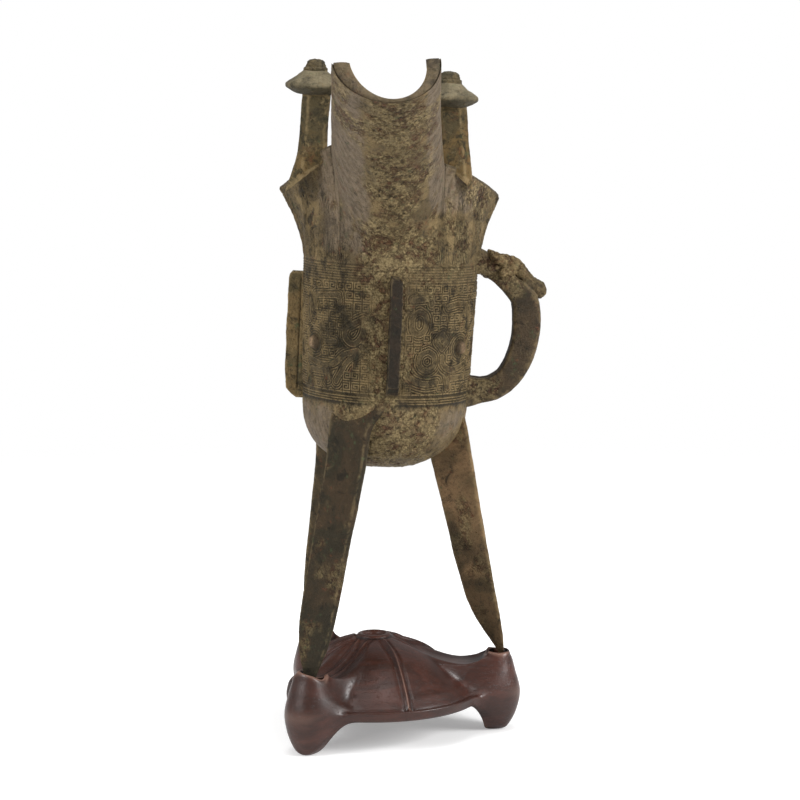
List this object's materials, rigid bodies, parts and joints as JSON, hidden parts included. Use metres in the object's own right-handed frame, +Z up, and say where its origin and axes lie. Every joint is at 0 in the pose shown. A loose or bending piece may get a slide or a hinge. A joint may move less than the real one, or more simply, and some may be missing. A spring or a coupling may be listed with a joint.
{
  "type": "bronze jue vessel",
  "caption": "Archaic bronze tripod wine vessel with long spout, pointed tail, side handle and capped posts, on a leaf-shaped hardwood stand",
  "frame": {"origin": "on the surface it stands on, under the middle of the bounding box", "axes": "+Z up, the spout points to -Y, the tail to +Y, the handle to +X"},
  "size_m": [0.0894, 0.171, 0.2299],
  "materials": {
    "rosewood": "dark red brown, hand polished, satin",
    "cup_bronze": "bronze with an olive brown patina",
    "leg_bronze": "bronze with an olive brown patina, darker",
    "handle_bronze": "bronze with an olive brown patina, rubbed",
    "post_bronze": "bronze with an olive brown patina",
    "cap_bronze": "bronze with an olive brown patina, paler",
    "flange_bronze": "bronze with an olive brown patina, dark",
    "eye_bronze": "bronze with an olive brown patina"
  },
  "bodies": {
    "stand": {"stand": "rosewood"},
    "vessel": {"cup": "cup_bronze", "leg_front": "leg_bronze", "leg_rear": "leg_bronze", "leg_handle": "leg_bronze", "handle": "handle_bronze", "handle_head": "handle_bronze", "post_left": "post_bronze", "post_right": "post_bronze", "cap_left": "cap_bronze", "cap_right": "cap_bronze", "finial_left": "cap_bronze", "finial_right": "cap_bronze", "flange_front": "flange_bronze", "flange_side": "flange_bronze", "flange_rear": "flange_bronze", "eye_front_left": "eye_bronze", "eye_front_right": "eye_bronze", "eye_rear_left": "eye_bronze", "eye_rear_right": "eye_bronze"}
  },
  "joints": [
    {"name": "vessel_lift", "type": "slide", "parent": "stand", "child": "vessel", "axis": [0, 0, 1], "range_m": [0, 0.06]}
  ]
}
